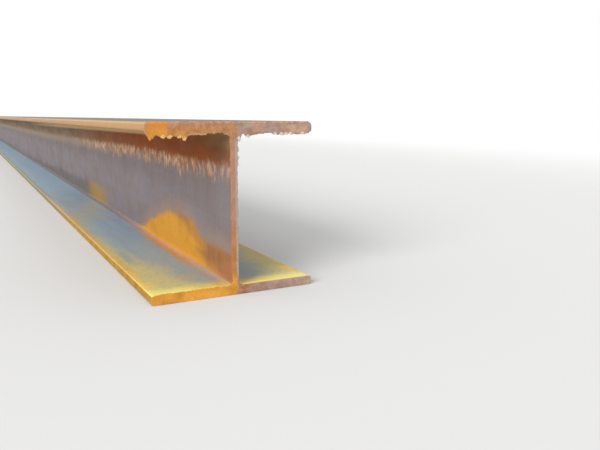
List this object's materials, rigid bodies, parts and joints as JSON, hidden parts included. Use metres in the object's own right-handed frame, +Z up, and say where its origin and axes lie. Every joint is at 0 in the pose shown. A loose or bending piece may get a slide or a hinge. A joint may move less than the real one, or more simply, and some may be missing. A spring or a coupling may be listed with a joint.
{
  "type": "steel h-beam",
  "caption": "Hot-rolled wide-flange steel H-beam stock: broad parallel flanges joined by a thin web with filleted roots, ends sawn square, grey mill scale with patchy orange rust.",
  "frame": {"origin": "middle of the underside: halfway along the beam, under the web, on the plane the bottom flange rests on", "axes": "+X along the beam towards the sawn end that shows in the picture, +Y across the flanges, +Z up along the web from the bottom flange to the top flange"},
  "size_m": [12, 0.35, 0.35],
  "materials": {
    "mill_scale_steel": "hot-rolled mill scale with patchy orange rust, unpainted"
  },
  "bodies": {
    "root": {"h_beam": "mill_scale_steel"}
  },
  "joints": []
}
